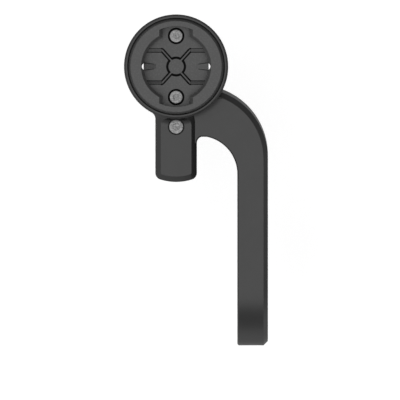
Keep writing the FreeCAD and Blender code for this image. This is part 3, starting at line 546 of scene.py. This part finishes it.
def addBridge(middle, bridge):
    along = Vector((math.cos(math.radians(bridge["angle"])),
                    math.sin(math.radians(bridge["angle"]))))
    aside = Vector((-along.y, along.x)) * bridge["aside"]
    return addBlock(middle, aside + along * bridge["start"], aside + along * bridge["end"],
                    bridge["width"], bridge["top"], bridge["bottom"])


def addCurl(middle, start, top, curl):
    # the outer groove of a rib turns into the line outside the ramp
    startPart()
    x, y = middle.x + start[0], middle.y + start[1]
    bpy.ops.mesh.primitive_plane_add(size=1, rotation=(0, math.pi / 2, 0), location=(
        x, y, middle.z - (top + curl["bottom"]) / 2))
    cutter = bpy.context.object
    cutter.scale = (curl["bottom"] - top, curl["width"], 1)
    bpy.ops.object.transform_apply(location=True, rotation=True, scale=True)
    pick(cutter, "FACE", anything)
    bpy.ops.mesh.spin(steps=curl["steps"], angle=-math.radians(curl["angle"]),
                      center=(x, y - curl["radius"], middle.z), axis=(0, 0, 1))
    return cutter


def addCrescent(middle, side, slit, low, high):
    # a rod that stands out of both faces, cut off flat where the wedge ends
    startPart()
    bpy.ops.mesh.primitive_cylinder_add(
        vertices=slit["sides"], radius=slit["radius"], depth=high - low + 2 * slit["rodLonger"],
        location=(middle.x + side * (slit["outer"] - slit["radius"]), middle.y,
                  (low + high) / 2))
    cutter = bpy.context.object
    bpy.ops.object.transform_apply(location=True)
    pick(cutter, "FACE", anything)
    bpy.ops.mesh.bisect(plane_co=(middle.x + side * slit["inner"], 0, 0), plane_no=(side, 0, 0),
                        use_fill=True, clear_inner=True)
    return cutter


def repeatOnFourSides(item, centre):
    pick(item, "FACE", anything)
    for flip in ((-1, 1, 1), (1, -1, 1)):
        bpy.ops.mesh.select_all(action="SELECT")
        bpy.ops.mesh.duplicate()
        bpy.ops.transform.resize(value=flip, center_override=centre)
    bpy.ops.mesh.select_all(action="SELECT")
    bpy.ops.mesh.normals_make_consistent(inside=False)


def makeSocket(values):
    # a copy of the insert's own mesh, merged first because it comes as loose triangles
    low, high = nodeBox("quarter_turn_insert")
    middle = Vector(((low.x + high.x) / 2, (low.y + high.y) / 2, high.z))
    socket = bpy.data.objects.new("socket", nodes["quarter_turn_insert"].data.copy())
    bpy.context.scene.collection.objects.link(socket)
    choose(socket)
    socket.scale = (1 / mm, 1 / mm, 1 / mm)
    bpy.ops.object.transform_apply(scale=True)
    pick(socket, "VERT", anything)
    bpy.ops.mesh.remove_doubles(threshold=tolerance)
    bpy.ops.mesh.customdata_custom_splitnormals_clear()

    curlStart = values["lines"]["besideRampOutside"]["start"]
    changes = [(addBridge(middle, values["bridge"]), "UNION"),
               (addCurl(middle, curlStart, values["lineTop"], values["curl"]), "DIFFERENCE")]
    for line in values["lines"].values():
        changes.append((addBlock(middle, line["start"], line["end"], line["width"],
                                 values["lineTop"], values["lineBottom"]), "DIFFERENCE"))
    for tool, operation in changes:
        repeatOnFourSides(tool, middle)
        combine(socket, tool, operation)

    # each slit behind a wedge is filled and cut again as a crescent
    slit = values["slit"]
    for side in (-1, 1):
        fill = addBlock(middle, (side * slit["fillInner"], 0), (side * slit["fillOuter"], 0),
                        slit["fillWidth"], slit["fillTop"], slit["fillBottom"])
        combine(socket, fill, "UNION")
        combine(socket, addCrescent(middle, side, slit, low.z, high.z), "DIFFERENCE")
    return socket


placePart(makeSocket(socketRelief), "quarterTurnSocket", "quarter_turn_insert", (0, 0, 0),
          "mount", material=insertNylon,
          smooth=socketRelief["smoothAngle"])
print("socket")


# Stage, light and camera

# The room is lighter to the rear left. Glow and fills are strengths, where 1 is white.
stage = {"floorLevel": -52.0, "floorMiddle": (-20.0, 40.0), "floorRadius": 220.0,
         "floorSides": 96, "floorColour": "#e6e6e6", "floorGlow": 0.58, "fillDark": 0.14,
         "fillLight": 0.53, "lightSide": (-0.84, -0.54, 0.0), "backdrop": "#ffffff"}


def makeStage(values):
    startPart()
    x, y = values["floorMiddle"]
    bpy.ops.mesh.primitive_circle_add(vertices=values["floorSides"], fill_type="NGON",
                                      radius=values["floorRadius"] * mm,
                                      location=(x * mm, y * mm, values["floorLevel"] * mm))
    floor = bpy.context.object
    floor.name = "floor"
    material, tree, output = newMaterial("paleFloor")
    path = addNode(tree, "ShaderNodeLightPath")
    seen = addNode(tree, "ShaderNodeMath", {"operation": "MAXIMUM"}, {
        0: path.outputs["Is Camera Ray"], 1: path.outputs["Is Glossy Ray"]})
    clear = addNode(tree, "ShaderNodeMath", {"operation": "MAXIMUM"}, {
        0: seen.outputs[0], 1: path.outputs["Is Transmission Ray"]})
    strength = addNode(tree, "ShaderNodeMath", {"operation": "MULTIPLY"}, {
        0: clear.outputs[0], 1: values["floorGlow"]})
    glow = addNode(tree, "ShaderNodeEmission", None, {"Strength": strength.outputs[0]})
    matt = addNode(tree, "ShaderNodeBsdfDiffuse", None, {
        "Color": linearColour(values["floorColour"])})
    both = addNode(tree, "ShaderNodeAddShader", None, {0: glow.outputs[0], 1: matt.outputs[0]})
    tree.links.new(both.outputs[0], output.inputs["Surface"])
    floor.data.materials.append(material)

    world = bpy.data.worlds.new("studio")
    bpy.context.scene.world = world
    world.use_nodes = True
    tree = world.node_tree
    tree.nodes.clear()
    direction = addNode(tree, "ShaderNodeTexCoord").outputs["Generated"]
    aside = addNode(tree, "ShaderNodeVectorMath", {"operation": "DOT_PRODUCT"}, {
        0: direction, 1: values["lightSide"]})
    room = addNode(tree, "ShaderNodeMapRange", None, {
        "Value": aside.outputs["Value"], "From Min": -1.0, "From Max": 1.0,
        "To Min": values["fillDark"], "To Max": values["fillLight"]})
    # below the horizon metal shows the same white backdrop that the camera sees
    height = addNode(tree, "ShaderNodeSeparateXYZ", None, {"Vector": direction}).outputs["Z"]
    below = addNode(tree, "ShaderNodeMath", {"operation": "LESS_THAN"}, {0: height, 1: 0.0})
    path = addNode(tree, "ShaderNodeLightPath")
    mirrored = addNode(tree, "ShaderNodeMath", {"operation": "MULTIPLY"}, {
        0: path.outputs["Is Glossy Ray"], 1: below.outputs[0]})
    seen = addNode(tree, "ShaderNodeMath", {"operation": "MAXIMUM"}, {
        0: path.outputs["Is Camera Ray"], 1: path.outputs["Is Transmission Ray"]})
    clear = addNode(tree, "ShaderNodeMath", {"operation": "MAXIMUM"}, {
        0: seen.outputs[0], 1: mirrored.outputs[0]})
    level = addNode(tree, "ShaderNodeMapRange", None, {
        "Value": clear.outputs[0], "To Min": room.outputs["Result"], "To Max": 1.0})
    background = addNode(tree, "ShaderNodeBackground", None, {
        "Color": linearColour(values["backdrop"]), "Strength": level.outputs["Result"]})
    addNode(tree, "ShaderNodeOutputWorld", None, {"Surface": background.outputs[0]})


# square, level and facing down, with its brightness against white
softbox = {"place": (-160.0, -60.0, 620.0), "size": 980.0, "level": 0.94}


def makeSoftbox(values):
    data = bpy.data.lights.new("softboxAbove", "AREA")
    data.shape = "SQUARE"
    data.size = values["size"] * mm
    # a lamp of this power looks as bright as the level says
    data.energy = values["level"] * math.pi * data.size ** 2
    item = bpy.data.objects.new("softboxAbove", data)
    item.location = Vector(values["place"]) * mm
    item.visible_camera = False
    bpy.context.scene.collection.objects.link(item)


# The photograph looks straight down, and its middle lies at this point.
camera = {"middle": (-20.29, 32.55), "height": 400.0, "width": 154.2}


def makeCamera(values):
    data = bpy.data.cameras.new("camera")
    data.type = "ORTHO"
    data.ortho_scale = values["width"] * mm
    item = bpy.data.objects.new("camera", data)
    item.location = (values["middle"][0] * mm, values["middle"][1] * mm, values["height"] * mm)
    bpy.context.scene.collection.objects.link(item)
    bpy.context.scene.camera = item


makeStage(stage)
makeSoftbox(softbox)
makeCamera(camera)
bpy.context.scene.view_settings.view_transform = "Standard"
print("stage, lamp and camera")
